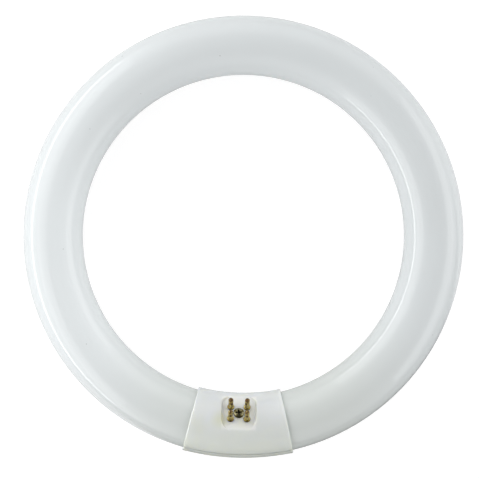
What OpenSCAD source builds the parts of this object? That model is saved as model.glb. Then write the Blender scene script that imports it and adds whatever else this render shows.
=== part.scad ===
// Circular fluorescent tube with a four-pin cap.
// The ring lies flat: its axis is +Z, its centre is over the origin, and z = 0 is the
// surface that it lies on. The cap is at -Y. Its pins lean towards the ring's centre.

/* [Glass tube] */
// Diameter of the whole ring, outside to outside
ring_d = 216; // [200:1:305]
// Diameter of the glass tube
tube_d = 29; // [28:0.5:31]
// Distance between the two sealed ends, inside the cap
end_gap = 21; // [20.6:0.2:23]
// Radius of the rounded shoulder at each sealed end
shoulder_r = 4.5; // [3.5:0.5:5]
// Diameter of the flare's mouth in each sealed end
flare_mouth_d = 15; // [14:0.5:16]
// Diameter of the flare's floor
flare_floor_d = 12; // [11.5:0.5:13]
// Depth of the flare below the end face
flare_depth = 5; // [4:0.5:6]
// Diameter of the exhaust tube that was melted shut
exhaust_d = 4; // [3.4:0.2:4.2]
// Length of the exhaust tube outside the end face
exhaust_out = 4.5; // [3:0.5:5]
// Length of its melted point
exhaust_tip = 1.8; // [1:0.2:2.2]

/* [Cap] */
// Length of the cap along its middle line
cap_len = 47.8; // [46:0.1:54]
// Wall of the two moulded shells
cap_wall = 1; // [0.9:0.1:1.4]
// Air gap between the glass and the cap's wall
cap_gap = 0.4; // [0.4:0.1:1]
// How much larger the cap's bend radius is than the ring's radius
cap_straightening = 9; // [6:0.5:20]
// Tilt of the pins, the screw and the parting line, in degrees
cap_tilt = 33; // [25:1:40]
// How far the rounded bead at each mouth stands out of the wall
bead_rise = 0.06; // [0.04:0.02:0.12]
// Height of the lap joint between the shells
lap_h = 1; // [0.6:0.1:1.6]
// Play in the lap joint and between the screw posts
lap_gap = 0.1; // [0.06:0.02:0.16]
// Width of the joint line that shows between the shells
joint_line_w = 0.12; // [0.06:0.02:0.2]
// Width of each rib that grips the glass
rib_w = 1.2; // [0.8:0.1:2]
// Distance from the mouth of the cap to its first rib
rib_inset = 1.6; // [1:0.1:2.5]
// Distance between the two ribs at each mouth
rib_pitch = 4; // [3:0.5:5]
// Play between the ribs and the glass
seat_gap = 0.08; // [0.04:0.02:0.2]
// Diameter of the moulding gate's mark
gate_mark_d = 1.6; // [1:0.1:2]
// How far the gate's mark stands out of the cap
gate_mark_h = 0.12; // [0.06:0.02:0.2]
// Angle of the gate's mark round the cap from its outermost line, in degrees
gate_mark_angle = 79; // [76:1:82]

/* [Pin land] */
// Width of the sunken flat along the cap
land_w = 16; // [15:0.5:16.5]
// Length of the sunken flat's outline round the cap
land_l = 18.6; // [18:0.2:19]
// Corner radius of the sunken flat
land_corner_r = 5.3; // [4:0.1:6]
// Depth of the flat below the top of the cap
land_depth = 2.7; // [2.2:0.1:2.9]
// Thickness of the flat
land_floor = 1.5; // [1.2:0.1:1.9]
// Wall round the flat
land_wall = 1.2; // [1:0.1:1.4]

/* [Contact pins] */
// Diameter of a pin
pin_d = 2.35; // [2.29:0.01:2.44]
// Length of a pin outside the flat
pin_len = 8.6; // [8:0.1:9.5]
// Distance between pins along the cap
pin_pitch_x = 7.92; // [7.8:0.02:8.4]
// Distance between pins across the cap
pin_pitch_y = 6.35; // [6.3:0.05:7]
// Diameter of the pin's barrel inside the flat
barrel_d = 2.7; // [2.66:0.02:2.8]
// Diameter of the collar that seats on the flat
collar_d = 3.3; // [3:0.1:3.4]
// Thickness of the collar
collar_h = 0.8; // [0.6:0.1:1.2]
// Chamfer of the collar
collar_chamfer = 0.2; // [0.1:0.05:0.3]
// Diameter of the rim that is staked inside the cap
stake_d = 3.1; // [2.8:0.1:3.2]
// Thickness of the staked rim
stake_h = 0.5; // [0.3:0.1:0.8]
// Diameter of the open bore that takes the lead wire
pin_bore_d = 1.2; // [1:0.05:1.3]
// Radial play of the barrel in its hole
pin_hole_gap = 0.025; // [0.01:0.005:0.05]
// Metal between the bore's end and the tip of the pin
pin_tip_wall = 1.4; // [1.3:0.1:1.8]
// Depth of the groove under the tip
neck_depth = 0.12; // [0.06:0.02:0.18]
// Length of the groove under the tip
neck_len = 0.6; // [0.4:0.1:0.8]
// Diameter of the tool that left the crimp marks
crimp_tool_d = 1; // [0.8:0.1:1.2]
// Length of a crimp mark
crimp_len = 2.2; // [1.8:0.1:2.2]
// Depth of a crimp mark
crimp_depth = 0.38; // [0.2:0.02:0.4]
// Distance from the crimp marks to the groove under the tip
crimp_drop = 0.3; // [0.2:0.1:0.4]

/* [Cap screw] */
// Outer diameter of the screw's thread
screw_d = 2.9; // [2.7:0.05:3]
// Depth of the screw's thread
thread_depth = 0.3; // [0.2:0.05:0.4]
// Pitch of the screw's thread
thread_pitch = 1.1; // [1:0.1:1.3]
// Length of the screw under its head
screw_len = 20; // [19:0.5:21]
// Length of the screw's point
screw_point = 2.2; // [1.8:0.1:2.6]
// Diameter of the pan head
head_d = 5.2; // [4.8:0.1:5.6]
// Height of the pan head
head_h = 1.3; // [1.2:0.1:1.8]
// Height of the straight rim of the head
head_rim_h = 0.5; // [0.4:0.1:0.8]
// Span of the cross recess
cross_span = 3.2; // [2.8:0.1:3.4]
// Width of each arm of the cross
cross_w = 0.8; // [0.6:0.05:1]
// Depth of the cross recess
cross_depth = 1.1; // [0.8:0.1:1.2]

/* [Screw posts] */
// Outer diameter of the post inside the front shell
front_post_d = 5.8; // [5.4:0.1:6.2]
// Outer diameter of the post inside the rear shell
rear_post_d = 6.2; // [5.8:0.1:6.4]
// Radial play of the screw in both posts
screw_gap = 0.06; // [0.04:0.02:0.14]
// Height of the posts' meeting face above the tube's centre
post_meet_h = 2; // [1:0.5:3]
// Thickness of the webs that brace the posts
web_t = 1; // [0.8:0.1:1.4]
// Half span of the rear webs
web_span = 9; // [7:0.5:9.5]
// Depth from the tube's centre to the top of the rear webs
web_drop = 5; // [4:0.5:8]
// Height of the front web's lower edge above the tube's centre
front_web_h = 6; // [5:0.5:9]

/* [Lead wires] */
// Diameter of a lead wire
lead_d = 0.6; // [0.5:0.05:0.7]
// Radius of the bend in a lead wire
lead_bend_r = 1.6; // [1.2:0.1:1.8]
// Length of wire that is sealed in the glass
lead_seal = 2; // [1.5:0.5:3]
// Radial play of the wire in the glass and in the crimp
lead_gap = 0.02; // [0.01:0.01:0.04]
// How far each wire is shifted to clear the exhaust tube
lead_shift = 1.2; // [1:0.1:1.4]
// Distance from the end of the wire to the end of the pin's bore
lead_end_gap = 0.3; // [0.2:0.1:0.5]

/* [Hidden] */

// Smoothness of round shapes
$fn = 96;
// Share of the cap's wall by which a cut runs past the face that it opens
overrun_share = 0.3;
overrun = cap_wall * overrun_share;
// Share of the cross recess that is left at its bottom
cross_floor_share = 0.45;
// Shares of the exhaust tube's radius at the two steps of its melted point
exhaust_mid_share = 0.6;
exhaust_end_share = 0.2;

tube_r = tube_d / 2;
ring_r = ring_d / 2 - tube_r;
cap_in_r = tube_r + cap_gap;
cap_r = cap_in_r + cap_wall;
wall_mid_r = cap_in_r + cap_wall / 2;
bead_r = cap_wall / 2 + bead_rise;
bead_break = joint_line_w / 4 / wall_mid_r * 180 / PI;
lap_r = wall_mid_r - lap_gap / 2;
rib_root_r = (cap_in_r + lap_r) / 2;
ring_z = cap_r;

// The cap bends less than the ring; the two middle lines meet at the cap's mouths
bend_r = ring_r + cap_straightening;
sleeve_half = (cap_len / 2 - bead_r) / bend_r * 180 / PI;
lap_half = sleeve_half - (bead_r + lap_gap) / bend_r * 180 / PI;
mouth_x = bend_r * sin(sleeve_half);
bend_y = sqrt(bend_r ^ 2 - mouth_x ^ 2) - sqrt(ring_r ^ 2 - mouth_x ^ 2);
cap_mid_y = bend_y - bend_r;

// Angle from the middle of the gap to the plane where each glass shoulder starts
shoulder_angle = asin(end_gap / 2 / ring_r) + shoulder_r / ring_r * 180 / PI;
flare_floor_x = ring_r * sin(shoulder_angle)
    + (flare_depth - shoulder_r) * cos(shoulder_angle);

land_z = cap_r - land_depth;
floor_z = land_z - land_floor;
pin_r = pin_d / 2;
pin_x = pin_pitch_x / 2;
pin_y = pin_pitch_y / 2;
pin_top = land_z + pin_len;
pin_bore_end = pin_top - pin_tip_wall;
lead_r = lead_d / 2;
lead_top = pin_bore_end - lead_end_gap;
lead_in_x = flare_floor_x + lead_seal;
screw_r = screw_d / 2;
screw_end = land_z - screw_len;

// Places the pins' parts: +Z out of the sunken flat, +Y towards the ring's centre
module at_cap_face() {
    translate([0, cap_mid_y, ring_z]) rotate([-cap_tilt, 0, 0]) children();
}

// Places the shapes of one pin or of its lead wire
module at_pin(side, row) {
    at_cap_face() translate([side * pin_x, row * pin_y, 0]) children();
}

// Turns a section about the cap's bend axis, between two angles from the cap's middle
module along_cap(from_angle, to_angle) {
    translate([0, bend_y, ring_z])
        rotate([0, 0, -90 + from_angle])
            rotate_extrude(angle = to_angle - from_angle)
                translate([bend_r, 0]) rotate(cap_tilt) children();
}

module annulus(outer_r, inner_r) {
    difference() {
        circle(outer_r);
        circle(inner_r);
    }
}

// A band of the cap's section between two heights above the parting plane
module band(low, high) {
    translate([-2 * cap_r, low]) square([4 * cap_r, high - low]);
}

// The space inside the cap, out to a radius from its middle line
module cap_space(r) {
    along_cap(-sleeve_half, sleeve_half) circle(r);
}

// The rounded outline of the sunken flat, grown by a margin
module land_outline(margin) {
    w = land_w / 2 - land_corner_r;
    l = land_l / 2 - land_corner_r;
    r = land_corner_r + margin;
    square([2 * (w + r), 2 * l], center = true);
    square([2 * w, 2 * (l + r)], center = true);
    for (x = [-w, w], y = [-l, l]) translate([x, y]) circle(r);
}

// The rounded bead at one mouth of the cap, over half a turn less a break at each end
module mouth_bead(side, half_turn, break_angle) {
    start_angle = side < 0 ? cap_tilt + half_turn : half_turn - cap_tilt - 180;
    translate([0, bend_y, ring_z])
        rotate([0, 0, -90 + side * sleeve_half])
            translate([bend_r, 0, 0])
                rotate([-side * 90, 0, 0])
                    rotate([0, 0, start_angle + break_angle])
                        rotate_extrude(angle = 180 - 2 * break_angle)
                            translate([wall_mid_r, 0]) circle(bead_r);
}

// Ribs at both mouths that close on the glass, over a band of the section
module grip_ribs(low, high) {
    for (side = [-1, 1], i = [0, 1]) {
        outer = sleeve_half - (rib_inset + i * rib_pitch) / bend_r * 180 / PI;
        inner = outer - rib_w / bend_r * 180 / PI;
        x = bend_r * sin(inner);
        drift = bend_y - sqrt(bend_r ^ 2 - x ^ 2) + sqrt(ring_r ^ 2 - x ^ 2);
        along_cap(side > 0 ? inner : -outer, side > 0 ? outer : -inner)
            intersection() {
                annulus(rib_root_r, tube_r + drift + seat_gap);
                band(low, high);
            }
    }
}

// Puts a shape on the plane where each shoulder starts, with +Z into the gap
module at_glass_ends() {
    for (turn = [0, 1])
        mirror([turn, 0, 0]) translate([0, 0, ring_z])
            rotate([0, 0, -90 + shoulder_angle])
                translate([ring_r, 0, 0]) rotate([90, 0, 0]) children();
}

// Half of the ring on each side; the halves run into each other opposite the cap
module glass_ring() {
    for (turn = [0, 1])
        mirror([turn, 0, 0]) translate([0, 0, ring_z])
            rotate([0, 0, -90 + shoulder_angle])
                rotate_extrude(angle = 180) translate([ring_r, 0]) circle(tube_r);
}

// The rounded shoulder of one sealed end
module glass_shoulder() {
    rotate_extrude() {
        square([tube_r - shoulder_r, shoulder_r]);
        intersection() {
            translate([tube_r - shoulder_r, 0]) circle(shoulder_r);
            square([tube_r, shoulder_r]);
        }
    }
}

// The hollow flare in one sealed end
module glass_flare() {
    slope = (flare_mouth_d - flare_floor_d) / 2 / flare_depth;
    translate([0, 0, shoulder_r - flare_depth])
        cylinder(
            r1 = flare_floor_d / 2,
            r2 = flare_mouth_d / 2 + slope * overrun,
            h = flare_depth + overrun
        );
}

// The exhaust tube of one sealed end, melted to a point
module exhaust_tube() {
    r = exhaust_d / 2;
    low = shoulder_r - flare_depth - overrun;
    high = shoulder_r + exhaust_out;
    rotate_extrude()
        polygon([
            [0, low],
            [r, low],
            [r, high - exhaust_tip],
            [r * exhaust_mid_share, high - exhaust_tip / 2],
            [r * exhaust_end_share, high],
            [0, high]
        ]);
}

// The sealed glass ring, coated inside, as one closed body
module glass_tube() {
    color("white") difference() {
        union() {
            difference() {
                union() {
                    glass_ring();
                    at_glass_ends() glass_shoulder();
                }
                at_glass_ends() glass_flare();
            }
            at_glass_ends() exhaust_tube();
        }
        for (side = [-1, 1], row = [-1, 1])
            at_cap_face()
                translate([side * (flare_floor_x - flare_depth / 2), row * pin_y, -row * lead_shift])
                    rotate([0, side * 90, 0])
                        cylinder(r = lead_r + lead_gap, h = lead_seal + flare_depth / 2 + lead_gap);
    }
}

// Walls and floor that sink the flat into the front shell
module land_housing() {
    intersection() {
        cap_space(wall_mid_r);
        at_cap_face() translate([0, 0, floor_z])
            linear_extrude(height = land_depth + land_floor + overrun) land_outline(land_wall);
    }
}

// Webs that brace the front post
module front_web() {
    intersection() {
        cap_space(wall_mid_r);
        at_cap_face() translate([-web_t / 2, -cap_r, front_web_h])
            cube([web_t, 2 * cap_r, floor_z + land_floor / 2 - front_web_h]);
    }
}

// The shell that carries the pins: half of the sleeve with the sunken flat
module front_cap_shell() {
    color("gainsboro") difference() {
        union() {
            along_cap(-sleeve_half, sleeve_half) difference() {
                intersection() {
                    annulus(cap_r, cap_in_r);
                    band(joint_line_w / 2, 2 * cap_r);
                }
                intersection() {
                    circle(lap_r + lap_gap);
                    band(-overrun, lap_h);
                }
            }
            for (side = [-1, 1]) mouth_bead(side, 0, 0);
            grip_ribs(lap_h + lap_gap, 2 * cap_r);
            land_housing();
            front_web();
            at_cap_face() translate([0, 0, post_meet_h])
                cylinder(d = front_post_d, h = floor_z + land_floor / 2 - post_meet_h);
            translate([0, cap_mid_y, ring_z]) rotate([90 - gate_mark_angle, 0, 0])
                translate([0, 0, wall_mid_r])
                    cylinder(d = gate_mark_d, h = cap_r + gate_mark_h - wall_mid_r);
        }
        at_cap_face() translate([0, 0, land_z])
            linear_extrude(height = land_depth + overrun) land_outline(0);
        at_cap_face() translate([0, 0, post_meet_h - overrun])
            cylinder(r = screw_r + screw_gap, h = land_z - post_meet_h + 2 * overrun);
        for (side = [-1, 1], row = [-1, 1])
            at_pin(side, row) translate([0, 0, floor_z - overrun])
                cylinder(r = barrel_d / 2 + pin_hole_gap, h = land_floor + 2 * overrun);
    }
}

// The shell that closes the cap: the other half of the sleeve with the screw's post
module rear_cap_shell() {
    color("gainsboro") difference() {
        union() {
            along_cap(-sleeve_half, sleeve_half) intersection() {
                annulus(cap_r, cap_in_r);
                band(-2 * cap_r, -joint_line_w / 2);
            }
            along_cap(-lap_half, lap_half) intersection() {
                annulus(lap_r, cap_in_r + lap_gap / 2);
                band(-lap_h, lap_h);
            }
            for (side = [-1, 1]) mouth_bead(side, 180, bead_break);
            grip_ribs(-2 * cap_r, -joint_line_w);
            intersection() {
                cap_space(wall_mid_r);
                at_cap_face() {
                    translate([0, 0, -cap_r])
                        cylinder(d = rear_post_d, h = cap_r + post_meet_h - lap_gap);
                    translate([-web_span, -web_t / 2, -cap_r])
                        cube([2 * web_span, web_t, cap_r - web_drop]);
                    translate([-web_t / 2, -cap_r, -cap_r])
                        cube([web_t, 2 * cap_r, cap_r - web_drop]);
                }
            }
        }
        at_cap_face() translate([0, 0, screw_end - overrun])
            cylinder(r = screw_r + screw_gap, h = post_meet_h - screw_end + 2 * overrun);
    }
}

// A hollow brass pin, staked into the flat and crimped on its lead wire
module contact_pin(side, row, crimp_angle) {
    bottom = floor_z - stake_h;
    collar_top = land_z + collar_h;
    tip_z = pin_top - pin_r;
    neck_low = tip_z - neck_len;
    crimp_foot = neck_low - crimp_drop - crimp_len;
    bore_r = pin_bore_d / 2;
    crimp_r = lead_r + lead_gap;
    step_z = crimp_foot - (bore_r - crimp_r);
    at_pin(side, row) difference() {
        rotate_extrude() {
            polygon([
                [bore_r, bottom],
                [stake_d / 2, bottom],
                [stake_d / 2, floor_z],
                [barrel_d / 2, floor_z],
                [barrel_d / 2, land_z],
                [collar_d / 2, land_z],
                [collar_d / 2, collar_top - collar_chamfer],
                [collar_d / 2 - collar_chamfer, collar_top],
                [pin_r, collar_top],
                [pin_r, neck_low],
                [pin_r - neck_depth, tip_z - neck_len / 2],
                [pin_r, tip_z],
                [0, tip_z],
                [0, pin_bore_end],
                [crimp_r, pin_bore_end],
                [crimp_r, crimp_foot],
                [bore_r, step_z]
            ]);
            intersection() {
                translate([0, tip_z]) circle(pin_r);
                translate([0, tip_z]) square(pin_r);
            }
        }
        for (turn = [0, 180])
            rotate([0, 0, crimp_angle + turn])
                translate([pin_r - crimp_depth + crimp_tool_d / 2, 0, crimp_foot])
                    cylinder(d = crimp_tool_d, h = crimp_len);
    }
}

module contact_pin_inner_left() {
    color("goldenrod") contact_pin(-1, 1, -45);
}

module contact_pin_inner_right() {
    color("goldenrod") contact_pin(1, 1, -135);
}

module contact_pin_outer_left() {
    color("goldenrod") contact_pin(-1, -1, -90);
}

module contact_pin_outer_right() {
    color("goldenrod") contact_pin(1, -1, -90);
}

// The screw that holds the two shells together; its thread is drawn as rings
module cap_screw() {
    root_r = screw_r - thread_depth;
    rings = floor((screw_len - screw_point - head_h) / thread_pitch);
    thread_low = screw_end + screw_point;
    dome_h = head_h - head_rim_h;
    dome_r = (head_d ^ 2 / 4 + dome_h ^ 2) / 2 / dome_h;
    head_top = land_z + head_h;
    color("silver") at_cap_face() difference() {
        rotate_extrude() {
            polygon(concat(
                [[0, land_z], [0, screw_end], [root_r, thread_low]],
                [for (i = [0 : rings - 1]) each [
                    [root_r, thread_low + i * thread_pitch + thread_depth],
                    [screw_r, thread_low + (i + 1 / 2) * thread_pitch],
                    [root_r, thread_low + (i + 1) * thread_pitch - thread_depth]
                ]],
                [[root_r, land_z]]
            ));
            translate([0, land_z]) square([head_d / 2, head_rim_h]);
            intersection() {
                translate([0, head_top - dome_r]) circle(dome_r);
                translate([0, land_z + head_rim_h]) square([head_d / 2, dome_h]);
            }
        }
        for (turn = [0, 90])
            rotate([90, 0, turn])
                linear_extrude(height = cross_w, center = true)
                    polygon([
                        [-cross_span / 2, head_top + overrun],
                        [-cross_span / 2, head_top - dome_h / 2],
                        [-cross_span / 2 * cross_floor_share, head_top - cross_depth],
                        [cross_span / 2 * cross_floor_share, head_top - cross_depth],
                        [cross_span / 2, head_top - dome_h / 2],
                        [cross_span / 2, head_top + overrun]
                    ]);
    }
}

// A wire from the sealed glass end, bent up into its pin
module lead_wire(side, row) {
    low = -row * lead_shift;
    at_pin(side, row) {
        translate([side * lead_bend_r, 0, low])
            rotate([0, side * 90, 0]) cylinder(r = lead_r, h = lead_in_x - pin_x - lead_bend_r);
        translate([side * lead_bend_r, 0, low + lead_bend_r])
            rotate([90, 0, 0]) rotate([0, 0, side > 0 ? 180 : 270])
                rotate_extrude(angle = 90) translate([lead_bend_r, 0]) circle(lead_r);
        translate([0, 0, low + lead_bend_r]) cylinder(r = lead_r, h = lead_top - low - lead_bend_r);
    }
}

module lead_wire_inner_left() {
    color("gray") lead_wire(-1, 1);
}

module lead_wire_inner_right() {
    color("gray") lead_wire(1, 1);
}

module lead_wire_outer_left() {
    color("gray") lead_wire(-1, -1);
}

module lead_wire_outer_right() {
    color("gray") lead_wire(1, -1);
}

glass_tube();
front_cap_shell();
rear_cap_shell();
cap_screw();
contact_pin_inner_left();
contact_pin_inner_right();
contact_pin_outer_left();
contact_pin_outer_right();
lead_wire_inner_left();
lead_wire_inner_right();
lead_wire_outer_left();
lead_wire_outer_right();
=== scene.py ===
"""Circular fluorescent tube: a coated glass ring, a two-part cap, four contact pins and a screw."""
import math

import bmesh
import bpy
import numpy as np
from bpy.props import FloatProperty, FloatVectorProperty, PointerProperty
from mathutils import Matrix, Vector


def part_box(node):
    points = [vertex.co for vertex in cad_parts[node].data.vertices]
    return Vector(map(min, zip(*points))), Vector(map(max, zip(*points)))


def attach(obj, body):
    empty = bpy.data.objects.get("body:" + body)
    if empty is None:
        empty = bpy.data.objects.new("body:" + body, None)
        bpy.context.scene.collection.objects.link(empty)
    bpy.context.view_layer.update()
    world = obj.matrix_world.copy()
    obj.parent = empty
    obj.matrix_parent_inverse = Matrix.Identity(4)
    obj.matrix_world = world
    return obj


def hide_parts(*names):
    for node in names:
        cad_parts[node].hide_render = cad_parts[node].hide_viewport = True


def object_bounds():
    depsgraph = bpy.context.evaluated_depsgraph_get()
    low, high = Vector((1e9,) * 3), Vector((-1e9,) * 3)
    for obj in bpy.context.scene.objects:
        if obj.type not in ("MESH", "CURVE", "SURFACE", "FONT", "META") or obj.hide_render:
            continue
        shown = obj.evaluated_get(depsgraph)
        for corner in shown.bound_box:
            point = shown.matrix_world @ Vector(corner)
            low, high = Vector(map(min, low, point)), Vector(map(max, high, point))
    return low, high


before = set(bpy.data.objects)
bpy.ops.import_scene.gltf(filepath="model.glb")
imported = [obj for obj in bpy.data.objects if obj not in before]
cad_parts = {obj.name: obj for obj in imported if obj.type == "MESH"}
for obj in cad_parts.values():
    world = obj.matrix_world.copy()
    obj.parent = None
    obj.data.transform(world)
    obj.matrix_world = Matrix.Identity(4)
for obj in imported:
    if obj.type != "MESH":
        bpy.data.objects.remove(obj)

bl_info = {
    "name": "Circular Fluorescent Tube",
    "version": (1, 0, 0),
    "blender": (4, 5, 0),
    "location": "3D View > Sidebar > Ring Lamp",
    "description": "Builds a ring-shaped fluorescent lamp around its CAD frame",
    "category": "Add Mesh",
}

CAD_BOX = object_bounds()
GLASS_LOW, GLASS_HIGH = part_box("glass_tube")
MM = 1000.0
FULL_TURN = 2 * math.pi
QUARTER = math.pi / 2

# Sizes that follow from the frame, in millimetres
GLASS_R = (GLASS_HIGH.z - GLASS_LOW.z) / 2 * MM
RING_Z = (GLASS_HIGH.z + GLASS_LOW.z) / 2 * MM
RING_R = (GLASS_HIGH.x - GLASS_LOW.x) / 2 * MM - GLASS_R

# The cap's shape, in millimetres and degrees, as in the part's source
CAP_LEN, CAP_GAP, CAP_WALL = 47.8, 0.4, 1.0
CAP_STRAIGHTENING = 9.0
BEAD_R = 0.56
TILT = math.radians(33)
LAND_W, LAND_L, LAND_CORNER = 16.0, 18.6, 5.3
LAND_DEPTH, LAND_FLOOR, LAND_WALL = 2.7, 1.5, 1.2
JOINT_HALF, JOINT_ROUND = 0.06, 0.2

# What follows from them: the sleeve's radii, the flat's height, the sleeve's half angle and the
# place of the axis that it bends about
SIN, COS = math.sin(TILT), math.cos(TILT)
CAP_IN_R = GLASS_R + CAP_GAP
CAP_R = CAP_IN_R + CAP_WALL
WALL_MID_R = (CAP_R + CAP_IN_R) / 2
LAND_V = CAP_R - LAND_DEPTH
BEND_R = RING_R + CAP_STRAIGHTENING
SLEEVE_HALF = (CAP_LEN / 2 - BEAD_R) / BEND_R
MOUTH_X = BEND_R * math.sin(SLEEVE_HALF)
BEND_Y = math.sqrt(BEND_R ** 2 - MOUTH_X ** 2) - math.sqrt(RING_R ** 2 - MOUTH_X ** 2)
CAP_Y = BEND_Y - BEND_R

# The raised band at each mouth: its flat width and the width of its step down
LIP_FLAT, LIP_STEP = 1.0, 0.4

# The sunken flat, outside and inside: its outline, the rounds at foot and rim, and the wall's lean
OUTER_FLAT = dict(
    r=CAP_R, land_v=LAND_V, half_x=LAND_W / 2, half_u=LAND_L / 2, corner=LAND_CORNER,
    foot=0.8, rim=0.8, lean=0.1)
INNER_FLAT = dict(
    r=CAP_IN_R, land_v=LAND_V - LAND_FLOOR, half_x=LAND_W / 2 + LAND_WALL, half_u=LAND_L / 2 + LAND_WALL,
    corner=LAND_CORNER + LAND_WALL, foot=0.2, rim=0.2, lean=0.0)

# Shares of the way at which loops lie: over the flat, from its rim to the shell's edge, and from the
# middle of the plain shell to its edge; they crowd together where the mouth's band steps down
FLOOR_SHARES = (0.12, 0.3, 0.5, 0.68, 0.84, 0.95)
RIM_SHARES = np.concatenate([np.linspace(0.04, 0.88, 15), np.linspace(0.895, 0.95, 8), [0.975, 1.0]])
PLAIN_SHARES = np.concatenate([np.linspace(0.04, 0.93, 24), np.linspace(0.938, 0.965, 7), [0.985, 1.0]])

# Directions round a shell's middle, and how near a corner an even one may lie, in radians; the
# most of the wall's height that one of its rounds may take
DIRECTIONS, CORNER_ROOM, ROUND_MOST = 240, 0.013, 0.45

# The moulding gate's mark: its place round the section from the pins, and radius and height of its profile
GATE_PSI = math.radians(-44)
GATE_PROFILE = ((0.3, 0.05), (0.6, 0.05), (0.75, 0.04), (0.9, 0.0), (1.0, -0.04), (1.0, -0.3))

# The sealed ends of the glass: height and radius of points along one end's profile
END_GAP, SHOULDER_R = 21.0, 4.5
EXHAUST_PROFILE = [
    (9.0, 0.4), (8.1, 1.2), (7.2, 2.0), (3.0, 2.0), (-0.5, 2.0),
    (-0.5, 4.0), (-0.5, 6.0), (2.0, 6.75), (4.5, 7.5),
]

# Contact pins; the tail and the collar's foot are heights over the flat and radii. The rows of the
# plain barrel start over the collar and end under the neck
PIN_R, PIN_LEN, PIN_X, PIN_U = 1.175, 8.6, 3.96, 3.175
PIN_TAIL = [(-2.0, 1.45), (-1.95, 1.55), (-1.5, 1.55), (-1.5, 1.35), (0.0, 1.35)]
COLLAR_FOOT = [(0.0, 1.58), (0.07, 1.65)]
COLLAR_R, COLLAR_H, COLLAR_ROUND, COLLAR_FILLET = 1.65, 0.8, 0.2, 0.12
NECK_LEN, NECK_DEPTH = 0.6, 0.12
BARREL_START, BARREL_END, BARREL_STEP = 0.3, 0.02, 0.09
PIN_TOP = LAND_V + PIN_LEN
DOME_V = PIN_TOP - PIN_R
NECK_V = DOME_V - NECK_LEN
CRIMP_FOOT_V, CRIMP_HEAD_V, CRIMP_END, CRIMP_TOOL_R = NECK_V - 2.7, NECK_V - 0.15, 0.22, 0.5

# Each pin's place on the flat and the turn of its crimps in degrees
PINS = {
    "contact_pin_inner_left": (-PIN_X, PIN_U, -58),
    "contact_pin_inner_right": (PIN_X, PIN_U, -122),
    "contact_pin_outer_left": (-PIN_X, -PIN_U, -90),
    "contact_pin_outer_right": (PIN_X, -PIN_U, -90),
}

# The cap screw: its head, with radii and depths under the dome at its brim and radii and heights
# down its side, the cross recess, and the thread
HEAD_R, HEAD_H, HEAD_RIM_H = 2.6, 1.3, 0.5
DOME_R = (HEAD_R ** 2 + (HEAD_H - HEAD_RIM_H) ** 2) / 2 / (HEAD_H - HEAD_RIM_H)
HEAD_BRIM = ((2.4, 0.0), (2.5, 0.0), (2.57, 0.05))
HEAD_SIDE = ((HEAD_R, HEAD_RIM_H - 0.06), (HEAD_R, 0.12), (2.55, 0.0), (1.5, 0.0))
CROSS_HALF, CROSS_SLOPE, CROSS_REACH, CROSS_RAMP = 0.4, 0.09, 1.62, 0.75
CROSS_DEPTH, CROSS_TURN = 1.15, 0.12
SHANK_LEN, POINT_LEN, POINT_SHARE, ROOT_R = 20.0, 2.2, 0.04, 1.15
THREAD_PITCH, THREAD_H, THREAD_START, THREAD_GROWTH = 1.1, 0.29, 1.2, 1.5

# Dirt specks on the glass: place in millimetres and radius
SPECKS = [
    ((-61.26, 85.6, 24.65), 0.42), ((-13.59, 86.25, 29.3), 0.42), ((-51.34, 67.1, 27.55), 0.36),
    ((-75.27, 49.32, 30.25), 0.40), ((60.79, 83.15, 27.15), 0.34), ((59.65, 68.74, 30.45), 0.34),
    ((64.92, 69.35, 30.6), 0.30), ((93.07, -45.82, 26.45), 0.34), ((-86.65, -8.82, 29.2), 0.40),
    ((-74.21, -54.25, 30.6), 0.42),
]
SPECK_EDGE, SPECK_STRENGTH, DIRT = (0.45, 1.15), 0.75, (0.16, 0.17, 0.15, 1)

# How the coating's colour varies, with painted light and shade on its inner side and at its outline: stretches
# in metres, and shares of its own colour
INNER_SIDE = ((RING_R - 8) / MM, (RING_R + 5) / MM)
LEFT_WAY, LEFT_FADE, LEFT_PAINTED_LIGHT = (-1, 0, 0), (0.0, 0.085), 1.11
FAR_WAY, FAR_FADE, FAR_PAINTED_SHADE = (-0.35, 1, 0), (0.03, 0.095), 0.945
GREYED_PLACE, GREYED_FADE = (12.0, -RING_R, RING_Z), (0.025, 0.1)
RIM_SHADE_FACING, RIM_SHADE_STRENGTH, RIM_SHADE_SHARE = (0.86, 1.0), 0.5, 0.62

# The cap's colour turns over this stretch across the ring, in millimetres
CAP_FRONT_Y, CAP_BACK_Y = -105.0, -83.0

# Yellowed places on the cap: place in millimetres, radius and strength
TINGES = [
    ((-9.0, -89.0, 30.5), 6.0, 0.7), ((-19.5, -92.0, 29.0), 7.0, 0.4), ((2.0, -89.0, 27.0), 7.0, 0.35),
]
CLOUDY, YELLOWED, FLAT_PAINTED_LIGHT = (0.65, 0.67, 0.62, 1), (0.80, 0.82, 0.60, 1), (0.95, 0.96, 0.90, 1)

# Where the sunken flat and its walls get painted light against their shade, in the pins' frame, and how deep
# light goes into the plastic
LIT_FLAT_X, LIT_FLAT_U = (7.9, 8.8), (8.0, 9.6)
LIT_FLAT_TOP, LIT_FLAT_BOTTOM = (LAND_V + 1.8, LAND_V + 2.8), (LAND_V - 0.9, LAND_V - 0.4)
CAP_SOFTNESS, CAP_GLOW_DEPTH = 0.6, (0.0030, 0.0028, 0.0022)

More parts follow.
